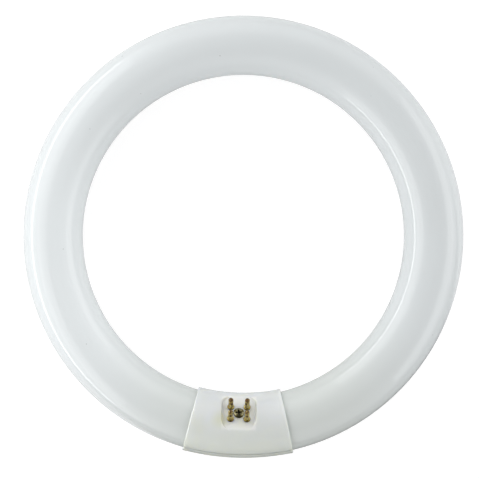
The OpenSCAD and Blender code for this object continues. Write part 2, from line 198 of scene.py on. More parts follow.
# Where the brass is darker, in the pins' frame, and its colours there: darker tips, painted shade on the
# collars' feet and brims, and soot with painted shade in the crimps
TIP_FADE, FOOT_SHADE_FADE, BRIM_SHADE_FADE = (DOME_V - 0.05, DOME_V + 0.4), (LAND_V + 0.3, LAND_V + 0.75), (1.4, 1.64)
CRIMP_RISE, CRIMP_FALL = (DOME_V - 3.4, DOME_V - 3.1), (DOME_V - 0.95, DOME_V - 0.65)
CRIMP_SKIN = (PIN_R - 0.06, PIN_R - 0.005)
BRASS_BROWN, TIP_BROWN = (0.24, 0.15, 0.045, 1), (0.085, 0.040, 0.026, 1)
COLLAR_SHADE, CRIMP_SOOT_AND_SHADE = (0.085, 0.05, 0.012, 1), (0.060, 0.026, 0.006, 1)

# Where the screw has painted shade, round the head's rim and in the cross recess, in millimetres, and its
# colours there
RECESS_FADE, RECESS_EDGE, HEAD_RIM_SHADE_FADE = (0.06, 0.28), (1.7, 1.95), (2.2, 2.5)
ZINC_DULL, HEAD_RIM_SHADE, RECESS_SHADE = (0.13, 0.115, 0.06, 1), (0.07, 0.06, 0.03, 1), (0.012, 0.010, 0.008, 1)

# How the sky leans: its light from a side is 1 plus the dot product of this and the direction
SKY_LEAN, ZENITH_FADE = (0.0, 0.17, 0.0), (0.5, 0.97)

# Light walls round the lamp: two floor points, bottom and top height in metres, glow at bottom and
# top, and whether matt surfaces see it too; the slit shows only as a thin line along the glass
WALLS = {
    "left_wall": ((-0.31, -0.6), (-0.31, 0.6), (0.0, 0.2), (0.7, 0.37), True),
    "near_left": ((-0.2, -0.3), (-0.2, 0.3), (0.1, 0.3), (1.08, 1.08), True),
    "right_wall": ((0.5, -0.45), (0.5, 0.45), (0.12, 0.4), (1.05, 1.05), True),
    "far_slit": ((-1.0, -1.38), (-1.0, 1.38), (0.07, 0.19), (4.2, 4.2), False),
}

# The floor: half its side, how far it lies below the lamp, its paint for matt surfaces, what the
# camera sees (paint and glow), and what gloss sees of the bare floor and of the painted shadow on it
FLOOR_HALF, FLOOR_DROP, FLOOR_PAINT = 3.0, 0.0001, 0.62
CAMERA_PAINT, CAMERA_GLOW = 0.34, 0.82
BARE_PAINT, BARE_GLOW, FLOOR_SHADOW_PAINT = 0.78, 0.15, 0.02
FLOOR_SHADOW_WAY, FLOOR_SHADOW_EDGE = (0.42, -0.907, 0), (0.075, 0.098)

CAMERA_ASIDE, SENSOR_WIDTH, CLIP = (-0.00192, -0.00197, 0), 36, (0.01, 20)
WHITE = (1, 1, 1, 1)


# ---------------------------------------------------------------- properties

class LampSizes(bpy.types.PropertyGroup):
    glass_radius: FloatProperty(
        name="Glass radius", description="Radius of the glass tube", default=GLASS_R / MM,
        min=0.013, max=0.016, precision=5, subtype="DISTANCE", unit="LENGTH")
    lip_height: FloatProperty(
        name="Lip height", description="Height of the raised band at the cap's mouths", default=0.00005,
        min=0.0, max=0.00006, precision=5, subtype="DISTANCE", unit="LENGTH")
    crimp_depth: FloatProperty(
        name="Crimp depth", description="Depth of the crimp marks on the pins", default=0.00038,
        min=0.0, max=0.0004, precision=5, subtype="DISTANCE", unit="LENGTH")


class LampLooks(bpy.types.PropertyGroup):
    coating: FloatVectorProperty(
        name="Coating", description="Colour of the white coating behind the glass", size=4,
        default=(0.793, 0.83, 0.84, 1), min=0, max=1, subtype="COLOR")
    end_tint: FloatVectorProperty(
        name="End tint", description="Colour of the coating close to the cap, greyed by use", size=4,
        default=(0.713, 0.747, 0.725, 1), min=0, max=1, subtype="COLOR")
    plastic: FloatVectorProperty(
        name="Cap plastic", description="Colour of the moulded cap towards the ring's middle", size=4,
        default=(0.865, 0.895, 0.860, 1), min=0, max=1, subtype="COLOR")
    plastic_front: FloatVectorProperty(
        name="Cap plastic in front", description="Colour of the cap at its outer side, yellowed by age", size=4,
        default=(0.815, 0.852, 0.745, 1), min=0, max=1, subtype="COLOR")
    brass: FloatVectorProperty(
        name="Brass", description="Colour of the contact pins", size=4,
        default=(0.58, 0.49, 0.17, 1), min=0, max=1, subtype="COLOR")
    screw: FloatVectorProperty(
        name="Screw", description="Colour of the plated screw", size=4,
        default=(0.31, 0.29, 0.17, 1), min=0, max=1, subtype="COLOR")
    wire: FloatVectorProperty(
        name="Lead wire", description="Colour of the lead wires", size=4,
        default=(0.60, 0.60, 0.60, 1), min=0, max=1, subtype="COLOR")


class StageSettings(bpy.types.PropertyGroup):
    camera_height: FloatProperty(
        name="Camera height", description="Height of the camera over the ring", default=0.7,
        min=0.3, max=3, subtype="DISTANCE", unit="LENGTH")
    camera_turn: FloatProperty(
        name="Camera turn", description="Turn of the camera about its own line of sight",
        default=math.radians(1.5), subtype="ANGLE", unit="ROTATION")
    focal_length: FloatProperty(
        name="Focal length", description="Focal length of the lens in millimetres",
        default=106.99, min=20, max=300)
    sky: FloatProperty(
        name="Sky", description="Strength of the even light from all round", default=1.08, min=0, max=2)
    zenith: FloatProperty(
        name="Zenith", description="Strength of the sky straight above the lamp", default=0.05, min=0, max=2)


# ---------------------------------------------------------------- cap geometry

def smooth(share):
    """A smooth step: 3 times the square less 2 times the cube of a share from 0 to 1."""
    return share * share * (3 - 2 * share)


def face_points(x, u, v):
    """Points from the pins' frame: x along the cap, u across the land, v out along the pins.

    y = cap middle + u cos(tilt) + v sin(tilt), z = ring height - u sin(tilt) + v cos(tilt).
    """
    x, u, v = np.broadcast_arrays(x, u, v)
    return np.stack([x, CAP_Y + u * COS + v * SIN, RING_Z - u * SIN + v * COS], axis=-1)


def sleeve_points(alpha, psi, r):
    """Points of the bent sleeve: alpha turns about the bend axis, psi round the section from the pins.

    Across the section the offsets are r sin(psi) along u and r cos(psi) along v; the
    radius about the bend axis is the bend radius plus the section's outward offset.
    """
    u, v = r * np.sin(psi), r * np.cos(psi)
    rho = BEND_R + (-u * COS - v * SIN)
    return np.stack([rho * np.sin(alpha), BEND_Y - rho * np.cos(alpha), RING_Z - u * SIN + v * COS], axis=-1)


def sleeve_height(x, u, r):
    """Height v at which the line (x, u) leaves the sleeve of radius r, by Newton's steps on its distance."""
    v = np.sqrt(np.maximum(r ** 2 - u ** 2, 1.0))
    for _ in range(8):
        y, z = CAP_Y + u * COS + v * SIN, -u * SIN + v * COS
        rho = np.hypot(x, BEND_Y - y)
        miss = np.hypot(rho - BEND_R, z) - r
        v = v - miss * r / np.maximum(v, 1.0)
    return v


def sleeve_angles(x, u, v):
    """The alpha and psi of points given in the pins' frame."""
    y, z = CAP_Y + u * COS + v * SIN, -u * SIN + v * COS
    outward = np.hypot(x, BEND_Y - y) - BEND_R
    across = -outward * COS - z * SIN
    along = -outward * SIN + z * COS
    return np.arctan2(x, BEND_Y - y), np.arctan2(across, along)


def rounded_outline(beta, half_x, half_u, corner):
    """Distance to a rounded rectangle along each direction beta, and its outward normals.

    A ray meets a straight side at half size / cosine, or the corner's circle where the
    square of the distance to the corner's centre is the corner radius squared.
    """
    c, s = np.abs(np.cos(beta)), np.abs(np.sin(beta))
    side, top = half_x / np.maximum(c, 1e-9), half_u / np.maximum(s, 1e-9)
    kx, ku = half_x - corner, half_u - corner
    dot = kx * c + ku * s
    arc = dot + np.sqrt(np.maximum(dot ** 2 - (kx ** 2 + ku ** 2 - corner ** 2), 0))
    on_side, on_top = side * s <= ku, top * c <= kx
    dist = np.where(on_side, side, np.where(on_top, top, arc))
    nx = np.where(on_side, 1, np.where(on_top, 0, (arc * c - kx) / corner)) * np.sign(np.cos(beta))
    nu = np.where(on_side, 0, np.where(on_top, 1, (arc * s - ku) / corner)) * np.sign(np.sin(beta))
    return dist, nx, nu


def shell_directions(r):
    """Directions round the shell's middle, even, with the four corners of its edge among them."""
    corner = math.atan2(r * QUARTER, BEND_R * SLEEVE_HALF)
    marks = [corner, math.pi - corner, math.pi + corner, FULL_TURN - corner]
    even = np.linspace(0, FULL_TURN, DIRECTIONS, endpoint=False)
    keep = np.all(np.abs(even[:, None] - np.array(marks)[None]) > CORNER_ROOM, axis=1)
    return np.sort(np.concatenate([even[keep], marks]))


def shell_edge(beta, r):
    """Where each direction meets the edge of the half sleeve, as alpha and psi."""
    half_a, half_p = SLEEVE_HALF, QUARTER - JOINT_HALF / r
    a, p = np.cos(beta) / (BEND_R * half_a), np.sin(beta) / (r * half_p)
    way = 1 / np.maximum(np.abs(a), np.abs(p))
    return way * a * half_a, way * p * half_p


def rise_at_mouth(alpha):
    """The share of the raised band's height: 1 at the mouth, and a smooth step down to 0 a little way in."""
    inward = (SLEEVE_HALF - np.abs(alpha)) * BEND_R
    return 1 - smooth(np.clip((inward - LIP_FLAT) / LIP_STEP, 0, 1))


def land_patch(beta, lip, r, land_v, half_x, half_u, corner, foot, rim, lean):
    """Loops from the middle of the sunken flat, up its wall and out over the sleeve to the edge.

    Each loop has one point per direction. The flat is the plane v = land_v inside the
    rounded outline, or inside the line where the plane leaves the sleeve, found by halving.
    The wall stands on the outline and leans out by a share of its height, with a quarter
    round at foot and rim; from there the points run straight to the edge in the sleeve's
    own two angles, raised by the lip near the mouths.
    """
    dist, nx, nu = rounded_outline(beta, half_x, half_u, corner)
    c, s = np.cos(beta), np.sin(beta)
    low, high = np.zeros_like(dist), dist.copy()
    inside = sleeve_height(dist * c, dist * s, r) >= land_v
    for _ in range(40):
        mid = (low + high) / 2
        over = sleeve_height(mid * c, mid * s, r) >= land_v
        low, high = np.where(over, mid, low), np.where(over, high, mid)
    dist = np.where(inside, dist, low)
    bx, bu = dist * c, dist * s
    wall = np.maximum(sleeve_height(bx, bu, r) - land_v, 0)
    fr, rr = np.minimum(foot, wall * ROUND_MOST), np.minimum(rim, wall * ROUND_MOST)
    loops = [face_points((bx - nx * fr) * k, (bu - nu * fr) * k, land_v) for k in FLOOR_SHARES]
    for turn in np.linspace(0, QUARTER, 6):
        back = fr * (1 - math.sin(turn))
        loops.append(face_points(bx - nx * back, bu - nu * back, land_v + fr * (1 - math.cos(turn))))
    for turn in np.linspace(0, QUARTER, 8):
        out = rr * (1 - math.cos(turn)) + lean * wall
        x, u = bx + nx * out, bu + nu * out
        v = sleeve_height(x, u, r)
        loops.append(face_points(x, u, v - rr * (1 - math.sin(turn))))
    alpha, psi = sleeve_angles(x, u, v)
    edge_a, edge_p = shell_edge(beta, r)
    for k in RIM_SHARES:
        a, p = alpha + (edge_a - alpha) * k, psi + (edge_p - psi) * k
        loops.append(sleeve_points(a, p, r + lip * rise_at_mouth(a)))
    return loops


def plain_patch(beta, lip, r):
    """Loops from the middle of a plain half sleeve straight out to its edge, opposite the pins."""
    edge_a, edge_p = shell_edge(beta, r)
    return [
        sleeve_points(edge_a * k, math.pi + edge_p * k, r + lip * rise_at_mouth(edge_a * k))
        for k in PLAIN_SHARES]


def edge_loops(beta, turn_psi, lip):
    """Loops over the shell's edge: half a round at the mouths and a flatter one at the joint.

    With t from 0 to 180 degrees the radius is the middle of the wall plus half the wall
    times cos t, and the edge moves out by its round times sin t, or by the flatter curve.
    """
    loops = []
    outer_a, outer_p = shell_edge(beta, CAP_R)
    on_mouth = np.abs(outer_a) > SLEEVE_HALF * (1 - 1e-6)
    on_joint = np.abs(outer_p) > (QUARTER - JOINT_HALF / CAP_R) * (1 - 1e-6)
    for t in np.linspace(0, math.pi, 15)[1:-1]:
        r = WALL_MID_R + CAP_WALL / 2 * math.cos(t) + lip * rise_at_mouth(outer_a) * max(math.cos(t), 0)
        a = outer_a + np.sign(outer_a) * on_mouth * BEAD_R * math.sin(t) / BEND_R
        inset = JOINT_ROUND * (1 - math.sqrt(1 - math.cos(t) ** 6))
        p = outer_p - np.sign(outer_p) * on_joint * inset / WALL_MID_R
        loops.append(sleeve_points(a, turn_psi + p, r))
    return loops


# ---------------------------------------------------------------- meshes

def closed_mesh(name, loops, first, last):
    """Joins closed loops of equal length into one surface, with a fan to a point at each end."""
    grid = np.asarray(loops)
    n, m, _ = grid.shape
    points = np.concatenate([grid.reshape(-1, 3), [first, last]]) / MM
    i, j = np.meshgrid(np.arange(n - 1), np.arange(m), indexing="ij")
    k = (j + 1) % m
    quads = np.stack([i * m + j, i * m + k, (i + 1) * m + k, (i + 1) * m + j], axis=-1).reshape(-1, 4)
    ring = np.arange(m)
    after = (ring + 1) % m
    start = np.stack([np.full(m, n * m), after, ring], axis=-1)
    end = np.stack([np.full(m, n * m + 1), (n - 1) * m + ring, (n - 1) * m + after], axis=-1)
    tris = np.concatenate([quads[:, [0, 1, 2]], quads[:, [0, 2, 3]], start, end])
    a, b, c = (points[tris[:, q]] for q in range(3))
    if np.einsum("ij,ij->i", a, np.cross(b, c)).sum() < 0:
        quads, start, end = quads[:, ::-1], start[:, ::-1], end[:, ::-1]
    return placed(name, points.tolist(), quads.tolist() + start.tolist() + end.tolist())


def placed(name, points, faces):
    """A new object in the scene from points in metres and faces."""
    mesh = bpy.data.meshes.new(name)
    mesh.from_pydata(points, [], faces)
    mesh.validate()
    obj = bpy.data.objects.new(name, mesh)
    bpy.context.scene.collection.objects.link(obj)
    return obj


def finish_piece(obj, material, slot, *nodes):
    """Merges doubled points, smooths the piece, gives it its finish and sets it in place of CAD nodes."""
    work = bmesh.new()
    work.from_mesh(obj.data)
    bmesh.ops.remove_doubles(work, verts=work.verts, dist=2e-6)
    bmesh.ops.dissolve_degenerate(work, edges=work.edges, dist=1e-7)
    work.to_mesh(obj.data)
    work.free()
    obj.data.polygons.foreach_set("use_smooth", np.ones(len(obj.data.polygons), dtype=bool))
    obj.data.materials.append(material)
    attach(obj, "root")
    if nodes:
        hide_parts(*nodes)
    return obj


def glass_ring(radius):
    """The coated glass ring: a circle carried round the ring, closed by a revolved end on each side of the gap.

    On the ring a point is (ring radius + r cos f) outwards and r sin f up. On an end it is
    the shoulder's plane centre, plus z along the ring's line into the gap, plus r about it.
    """
    first = math.asin(END_GAP / 2 / RING_R) + SHOULDER_R / RING_R
    f = np.linspace(0, FULL_TURN, 96, endpoint=False)
    flat_r = radius - SHOULDER_R
    shoulder = np.linspace(QUARTER, 0, 10)[1:]
    profile = EXHAUST_PROFILE + [(SHOULDER_R, flat_r)]
    profile += [(SHOULDER_R * math.sin(t), flat_r + SHOULDER_R * math.cos(t)) for t in shoulder]
    z, r = np.array(profile).T[:, :, None, None]
    loops, tips = [], []
    for turn, way in ((first, -1), (FULL_TURN - first, 1)):
        out = np.array([math.sin(turn), -math.cos(turn), 0])
        into = way * np.array([math.cos(turn), math.sin(turn), 0])
        base = RING_R * out + [0, 0, RING_Z]
        spread = np.cos(f)[None, :, None] * out + np.sin(f)[None, :, None] * np.array([0, 0, 1.0])
        loops.append(base + z * into + r * spread)
        tips.append(base + profile[0][0] * into)
    turns = np.linspace(first, FULL_TURN - first, 361)[1:-1][:, None]
    rho, height = RING_R + radius * np.cos(f), RING_Z + radius * np.sin(f)
    body = np.stack([rho * np.sin(turns), -rho * np.cos(turns), height + 0 * turns], axis=-1)
    return closed_mesh("coated_glass_ring", np.concatenate([loops[0], body, loops[1][::-1]]), *tips)


def front_shell(lip):
    """The front shell: the outer skin with its sunken flat, the rounded edge and the inner skin."""
    beta = shell_directions(CAP_R)
    outer, inner = land_patch(beta, lip, **OUTER_FLAT), land_patch(beta, 0.0, **INNER_FLAT)
    return closed_mesh(
        "front_shell", outer + edge_loops(beta, 0, lip) + inner[::-1],
        face_points(0, 0, LAND_V), face_points(0, 0, LAND_V - LAND_FLOOR))


def rear_shell(lip):
    """The rear shell: a plain half sleeve with an outer skin, a rounded edge and an inner skin."""
    beta = shell_directions(CAP_R)
    outer, inner = plain_patch(beta, lip, CAP_R), plain_patch(beta, 0.0, CAP_IN_R)
    return closed_mesh(
        "rear_shell", outer + edge_loops(beta, math.pi, lip) + inner[::-1],
        sleeve_points(0.0, math.pi, CAP_R), sleeve_points(0.0, math.pi, CAP_IN_R))


def pin_mesh(name, x, u, crimp_turn, crimp_depth):
    """A contact pin: a profile turned about the pin's line, pressed in by a round crimp tool on two sides.

    The tool's near side is the crimp's depth inside the pin. With d from the pin's middle
    to the tool's, a ray at angle g meets it at d cos g - sqrt(tool radius^2 - d^2 sin^2 g).
    """
    collar_top = LAND_V + COLLAR_H
    rows = [(LAND_V + h, r) for h, r in PIN_TAIL + COLLAR_FOOT]
    rows += [
        (collar_top + COLLAR_ROUND * (math.sin(t) - 1), COLLAR_R + COLLAR_ROUND * (math.cos(t) - 1))
        for t in np.linspace(0, QUARTER, 6)]
    rows += [
        (collar_top + COLLAR_FILLET * (1 - math.cos(t)), PIN_R + COLLAR_FILLET * (1 - math.sin(t)))
        for t in np.linspace(0, QUARTER, 5)]
    rows += [(v, PIN_R) for v in np.arange(collar_top + BARREL_START, NECK_V - BARREL_END, BARREL_STEP)]
    rows += [(NECK_V + NECK_LEN * k, PIN_R - NECK_DEPTH * math.sin(math.pi * k)) for k in np.linspace(0, 1, 13)]
    rows += [(DOME_V + PIN_R * math.sin(t), PIN_R * math.cos(t)) for t in np.linspace(0, QUARTER, 14)[1:-1]]
    turn = np.linspace(0, FULL_TURN, 80, endpoint=False)
    v, r = (column[:, None] + 0 * turn for column in np.array(rows).T)
    to_tool = PIN_R - crimp_depth + CRIMP_TOOL_R
    span = smooth(np.clip((v - CRIMP_FOOT_V) / CRIMP_END, 0, 1) * np.clip((CRIMP_HEAD_V - v) / CRIMP_END, 0, 1))
    for side in (0, math.pi):
        g = (turn - math.radians(crimp_turn) - side + math.pi) % FULL_TURN - math.pi
        room = CRIMP_TOOL_R ** 2 - (to_tool * np.sin(g)) ** 2
        hit = to_tool * np.cos(g) - np.sqrt(np.maximum(room, 0))
        pressed = np.where((room > 0) & (np.abs(g) < 1) & (hit < r), hit, r)
        r = r + (pressed - r) * span
    loops = face_points(x + r * np.cos(turn), u + r * np.sin(turn), v)
    return closed_mesh(name, loops, face_points(x, u, LAND_V + PIN_TAIL[0][0]), face_points(x, u, PIN_TOP))


def head_top(out):
    """Height of the screw head's dome at a distance from its middle: a ball of the dome's radius."""
    return LAND_V + HEAD_H - DOME_R + np.sqrt(DOME_R ** 2 - out ** 2)


def screw_mesh():
    """The cap screw: a domed head with a cross recess, and a helical thread down to its point.

    The recess is as deep as the deeper of two arms, each a flat-bottomed slot with sloping
    ends. Down the shank the radius is the root plus the thread's depth times a triangle
    wave of height / pitch + turn / 360 degrees.
    """
    turn = np.linspace(0, FULL_TURN, 128, endpoint=False)
    out = np.concatenate([np.linspace(0.05, 1.75, 44), np.linspace(1.8, 2.3, 7)])[:, None]
    deep = 0.0
    for spin in (CROSS_TURN, CROSS_TURN + QUARTER):
        px, py = out * np.cos(turn - spin), out * np.sin(turn - spin)
        across = np.clip((CROSS_HALF - np.abs(py)) / CROSS_SLOPE, 0, 1)
        along = np.clip((CROSS_REACH - np.abs(px)) / CROSS_RAMP, 0, 1)
        deep = np.maximum(deep, CROSS_DEPTH * across * along)
    rows = [face_points(out * np.cos(turn), out * np.sin(turn), head_top(out) - deep)]
    brim = [(r, head_top(r) - under) for r, under in HEAD_BRIM] + [(r, LAND_V + h) for r, h in HEAD_SIDE]
    rows += [face_points(r * np.cos(turn), r * np.sin(turn), v)[None] for r, v in brim]
    drop = np.linspace(0.05, SHANK_LEN, 220)[:, None]
    wave = (drop / THREAD_PITCH + turn / FULL_TURN) % 1
    ridge = np.clip(1 - np.abs(wave - 0.5) * 4, 0, 1)
    taper = np.clip((SHANK_LEN - drop) / POINT_LEN, 0, 1)
    grown = np.clip((drop - THREAD_START) / THREAD_GROWTH, 0, 1)
    r = (ROOT_R + THREAD_H * ridge * grown) * (POINT_SHARE + (1 - POINT_SHARE) * taper)
    rows.append(face_points(r * np.cos(turn), r * np.sin(turn), LAND_V - drop))
    return closed_mesh(
        "screw", np.concatenate(rows),
        face_points(0, 0, LAND_V + HEAD_H - CROSS_DEPTH), face_points(0, 0, LAND_V - SHANK_LEN))


def gate_points(px, pu, height):
    """Points of the gate's mark, px along the cap and pu across it from the mark's middle.

    They lie out from the sleeve's middle by its radius plus the height, less the fall of
    the sleeve's own curves: pu^2 / twice the sleeve's radius and px^2 / twice the ring's.
    """
    sine, cosine = math.sin(GATE_PSI), math.cos(GATE_PSI)
    out = CAP_R + height - pu ** 2 / (2 * CAP_R) - px ** 2 / (2 * RING_R)
    return face_points(px, sine * out + pu * cosine, cosine * out - pu * sine)


def gate_vestige():
    """The round mark where the plastic was fed into the mould: a low disc laid on the sleeve."""
    turn = np.linspace(0, FULL_TURN, 32, endpoint=False)
    rows = [gate_points(r * np.cos(turn), r * np.sin(turn), h) for r, h in GATE_PROFILE]
    return closed_mesh(
        "gate_mark", rows, gate_points(0, 0, GATE_PROFILE[0][1]), gate_points(0, 0, GATE_PROFILE[-1][1]))


# ---------------------------------------------------------------- shaders

class Wire:
    """A socket in a shader, with the arithmetic signs adding Math nodes."""

    def __init__(self, shade, socket):
        self.shade, self.socket = shade, socket

    def math(self, operation, a, b=0.0):
        return self.shade.node("ShaderNodeMath", {"operation": operation}, {0: a, 1: b})

    def __add__(self, other):
        return self.math("ADD", self, other)

    def __radd__(self, other):
        return self.math("ADD", other, self)

    def __sub__(self, other):
        return self.math("SUBTRACT", self, other)

    def __rsub__(self, other):
        return self.math("SUBTRACT", other, self)

    def __mul__(self, other):
        return self.math("MULTIPLY", self, other)

    def __rmul__(self, other):
        return self.math("MULTIPLY", other, self)

    def __truediv__(self, other):
        return self.math("DIVIDE", self, other)

    def __pow__(self, other):
        return self.math("POWER", self, other)


class Shade:
    """The nodes of one material or of the world, which is its owner."""

    def __init__(self, owner):
        owner.use_nodes = True
        self.owner, self.tree = owner, owner.node_tree
        self.tree.nodes.clear()
        self.place = None

    def node(self, kind, settings=None, inputs=None, output=0):
        """Adds a node: its settings first, then its sockets' values or links; gives one output."""
        made = self.tree.nodes.new(kind)
        for key, value in (settings or {}).items():
            setattr(made, key, value)
        for key, value in (inputs or {}).items():
            if isinstance(value, Wire):
                self.tree.links.new(value.socket, made.inputs[key])
            else:
                made.inputs[key].default_value = value
        return Wire(self, made.outputs[output]) if len(made.outputs) else None

    def coords(self):
        """Object coordinates, in metres."""
        if self.place is None:
            self.place = self.node("ShaderNodeTexCoord", output="Object")
        return self.place

    def noise(self, scale, detail):
        """Noise from about 0.3 to 0.7."""
        return self.node(
            "ShaderNodeTexNoise", None,
            {"Vector": self.coords(), "Scale": scale, "Detail": detail, "Roughness": 0.55})

    def along(self, direction):
        """How far a point lies along a direction, in metres."""
        return self.node(
            "ShaderNodeVectorMath", {"operation": "DOT_PRODUCT"},
            {0: self.coords(), 1: direction}, output="Value")

    def away(self, place):
        """Distance in metres from a place given in millimetres."""
        return self.node(
            "ShaderNodeVectorMath", {"operation": "DISTANCE"},
            {0: self.coords(), 1: tuple(c / MM for c in place)}, output="Value")

    def pin_frame(self):
        """x along the cap, u across the flat and v out along the pins, in millimetres."""
        x = self.along((MM, 0, 0))
        u = self.along((0, COS * MM, -SIN * MM)) - (CAP_Y * COS - RING_Z * SIN)
        v = self.along((0, SIN * MM, COS * MM)) - (CAP_Y * SIN + RING_Z * COS)
        return x, u, v

    def mix(self, factor, a, b):
        """A colour between a and b."""
        return self.node(
            "ShaderNodeMix", {"data_type": "RGBA", "clamp_factor": True},
            {"Factor": factor, 6: a, 7: b}, output=2)

    def ramp(self, value, low, high, start=0.0, end=1.0):
        """Goes smoothly from its start at low to its end at high."""
        return self.node(
            "ShaderNodeMapRange", {"interpolation_type": "SMOOTHSTEP"},
            {"Value": value, "From Min": low, "From Max": high, "To Min": start, "To Max": end})

    def bump(self, height, strength, distance):
        return self.node("ShaderNodeBump", None, {"Height": height, "Strength": strength, "Distance": distance})

    def light(self, strength):
        """White light of a strength."""
        return self.node("ShaderNodeEmission", None, {"Color": WHITE, "Strength": strength})

    def both(self, a, b):
        """Two shaders added."""
        return self.node("ShaderNodeAddShader", None, {0: a, 1: b})

    def end(self, shader, kind="ShaderNodeOutputMaterial"):
        """Ends the tree with a shader and gives its owner."""
        self.node(kind, None, {"Surface": shader})
        return self.owner

    def surface(self, **sockets):
        """Ends the material with a Principled BSDF."""
        inputs = {key.replace("_", " "): value for key, value in sockets.items()}
        return self.end(self.node("ShaderNodeBsdfPrincipled", None, inputs))


def new_shade(name):
    return Shade(bpy.data.materials.new(name))


def hypotenuse(a, b):
    """Length of the side opposite the right angle."""
    return (a * a + b * b) ** 0.5


def scaled(colour, share):
    """A colour made darker by a share under 1, or lighter by one over 1."""
    return tuple(c * share for c in colour[:3]) + (1.0,)


def coated_glass(looks):
    """Clear glass over a white powder coating: a smooth skin, faint cloudiness, dirt specks and a thin painted
    shade along its outline.

    Painted light makes the coating lighter along the ring's inner side at the left, and painted
    shade makes it darker there at the far side; it is greyer near the cap.
    """
    shade = new_shade("coated_glass")
    base = tuple(looks.coating)
    cloud = shade.ramp(shade.noise(28.0, 3.0), 0.35, 0.7)
    colour = shade.mix(cloud, base, scaled(base, 0.985))
    from_axis = hypotenuse(shade.along((1, 0, 0)), shade.along((0, 1, 0)))
    inner = 1 - shade.ramp(from_axis, *INNER_SIDE)
    # Painted light on the left of the ring's inner side, painted shade at its far side
    for way, fade, share in ((LEFT_WAY, LEFT_FADE, LEFT_PAINTED_LIGHT), (FAR_WAY, FAR_FADE, FAR_PAINTED_SHADE)):
        colour = shade.mix(inner * shade.ramp(shade.along(way), *fade), colour, scaled(base, share))
    # Painted shade: the coating darkens where the glass turns away from view, along its outline
    edge = shade.node("ShaderNodeLayerWeight", None, {"Blend": 0.5}, output="Facing")
    colour = shade.mix(shade.ramp(edge, *RIM_SHADE_FACING) * RIM_SHADE_STRENGTH, colour, scaled(base, RIM_SHADE_SHARE))
    colour = shade.mix(1 - shade.ramp(shade.away(GREYED_PLACE), *GREYED_FADE), colour, tuple(looks.end_tint))
    dirt = None
    for place, size in SPECKS:
        spot = 1 - shade.ramp(shade.away(place), *(size * share / MM for share in SPECK_EDGE))
        dirt = spot if dirt is None else dirt.math("MAXIMUM", dirt, spot)
    colour = shade.mix(dirt * SPECK_STRENGTH, colour, DIRT)
    wave = shade.bump(shade.noise(22.0, 1.0), 0.12, 0.0006)
    return shade.surface(
        Base_Color=colour, Roughness=0.045 + dirt * 0.4, Normal=wave, IOR=1.5, Specular_IOR_Level=0.5)


def cap_plastic(looks, name, softness):
    """Moulded white plastic, a little translucent: fine grain, faint cloudiness, yellowed places and painted
    light on the sunken flat.
    """
    shade = new_shade(name)
    height = shade.ramp(shade.along((0, 1, 0)), CAP_FRONT_Y / MM, CAP_BACK_Y / MM)
    base = shade.mix(height, tuple(looks.plastic_front), tuple(looks.plastic))
    cloud = shade.ramp(shade.noise(60.0, 4.0), 0.35, 0.7)
    colour = shade.mix(cloud * 0.1, base, CLOUDY)
    x, u, v = shade.pin_frame()
    # Painted light: the sunken flat and its walls are drawn lighter against the shade they lie in
    flat_light = (1 - shade.ramp(x.math("ABSOLUTE", x), *LIT_FLAT_X)) * (1 - shade.ramp(u.math("ABSOLUTE", u), *LIT_FLAT_U))
    flat_light = flat_light * (1 - shade.ramp(v, *LIT_FLAT_TOP)) * shade.ramp(v, *LIT_FLAT_BOTTOM)
    colour = shade.mix(flat_light * 0.8, colour, FLAT_PAINTED_LIGHT)
    for place, size, share in TINGES:
        colour = shade.mix((1 - shade.ramp(shade.away(place), 0.0, size / MM)) * share, colour, YELLOWED)
    grain = shade.noise(1500.0, 2.0)
    wave = shade.noise(120.0, 2.0)
    normal = shade.bump(grain * 0.35 + wave * 0.65, 0.25, 0.00012)
    rough = 0.20 + shade.noise(300.0, 3.0) * 0.10
    return shade.surface(
        Base_Color=colour, Roughness=rough, Normal=normal, IOR=1.5,
        Subsurface_Weight=softness, Subsurface_Radius=CAP_GLOW_DEPTH, Subsurface_Scale=1.0)


def pin_brass(looks):
    """Drawn brass with turning marks, brown patches, darkened tips, soot with painted shade in the crimps, and
    painted shade on the collar.
    """
    shade = new_shade("pin_brass")
    x, u, v = shade.pin_frame()
    off_line = hypotenuse(x.math("ABSOLUTE", x) - PIN_X, u.math("ABSOLUTE", u) - PIN_U)
    patch = shade.ramp(shade.noise(900.0, 4.0), 0.46, 0.62)
    colour = shade.mix(patch * 0.8, tuple(looks.brass), BRASS_BROWN)
    ragged = shade.noise(700.0, 2.0) * 0.9 - 0.45
    # Darker tips, less dark in patches and on the inner pins
    tip = shade.ramp(v + ragged, *TIP_FADE)
    tip_gaps = shade.ramp(shade.noise(1300.0, 2.0), 0.48, 0.6) * (1 - shade.ramp(u, -1.0, 1.0) * 0.7)
    colour = shade.mix(tip * (0.92 - tip_gaps * 0.85), colour, TIP_BROWN)
    # Painted shade on the collar's foot by the flat and on its brim
    foot = 1 - shade.ramp(v + ragged * 0.4, *FOOT_SHADE_FADE)
    collar = foot.math("MAXIMUM", foot, shade.ramp(off_line, *BRIM_SHADE_FADE))
    colour = shade.mix(collar * 0.88, colour, COLLAR_SHADE)
    # The crimps: soot, with painted shade in their dents
    crimp_span = shade.ramp(v, *CRIMP_RISE) * (1 - shade.ramp(v, *CRIMP_FALL))
    crimp = crimp_span * (1 - shade.ramp(off_line, *CRIMP_SKIN))
    colour = shade.mix(crimp, colour, CRIMP_SOOT_AND_SHADE)
    marks = shade.noise(2600.0, 2.0)
    rough = 0.17 + patch * 0.14 + tip * 0.12 + crimp * 0.4 + marks * 0.05
    return shade.surface(
        Base_Color=colour, Metallic=1 - crimp, Roughness=rough, Normal=shade.bump(marks, 0.25, 0.00003))


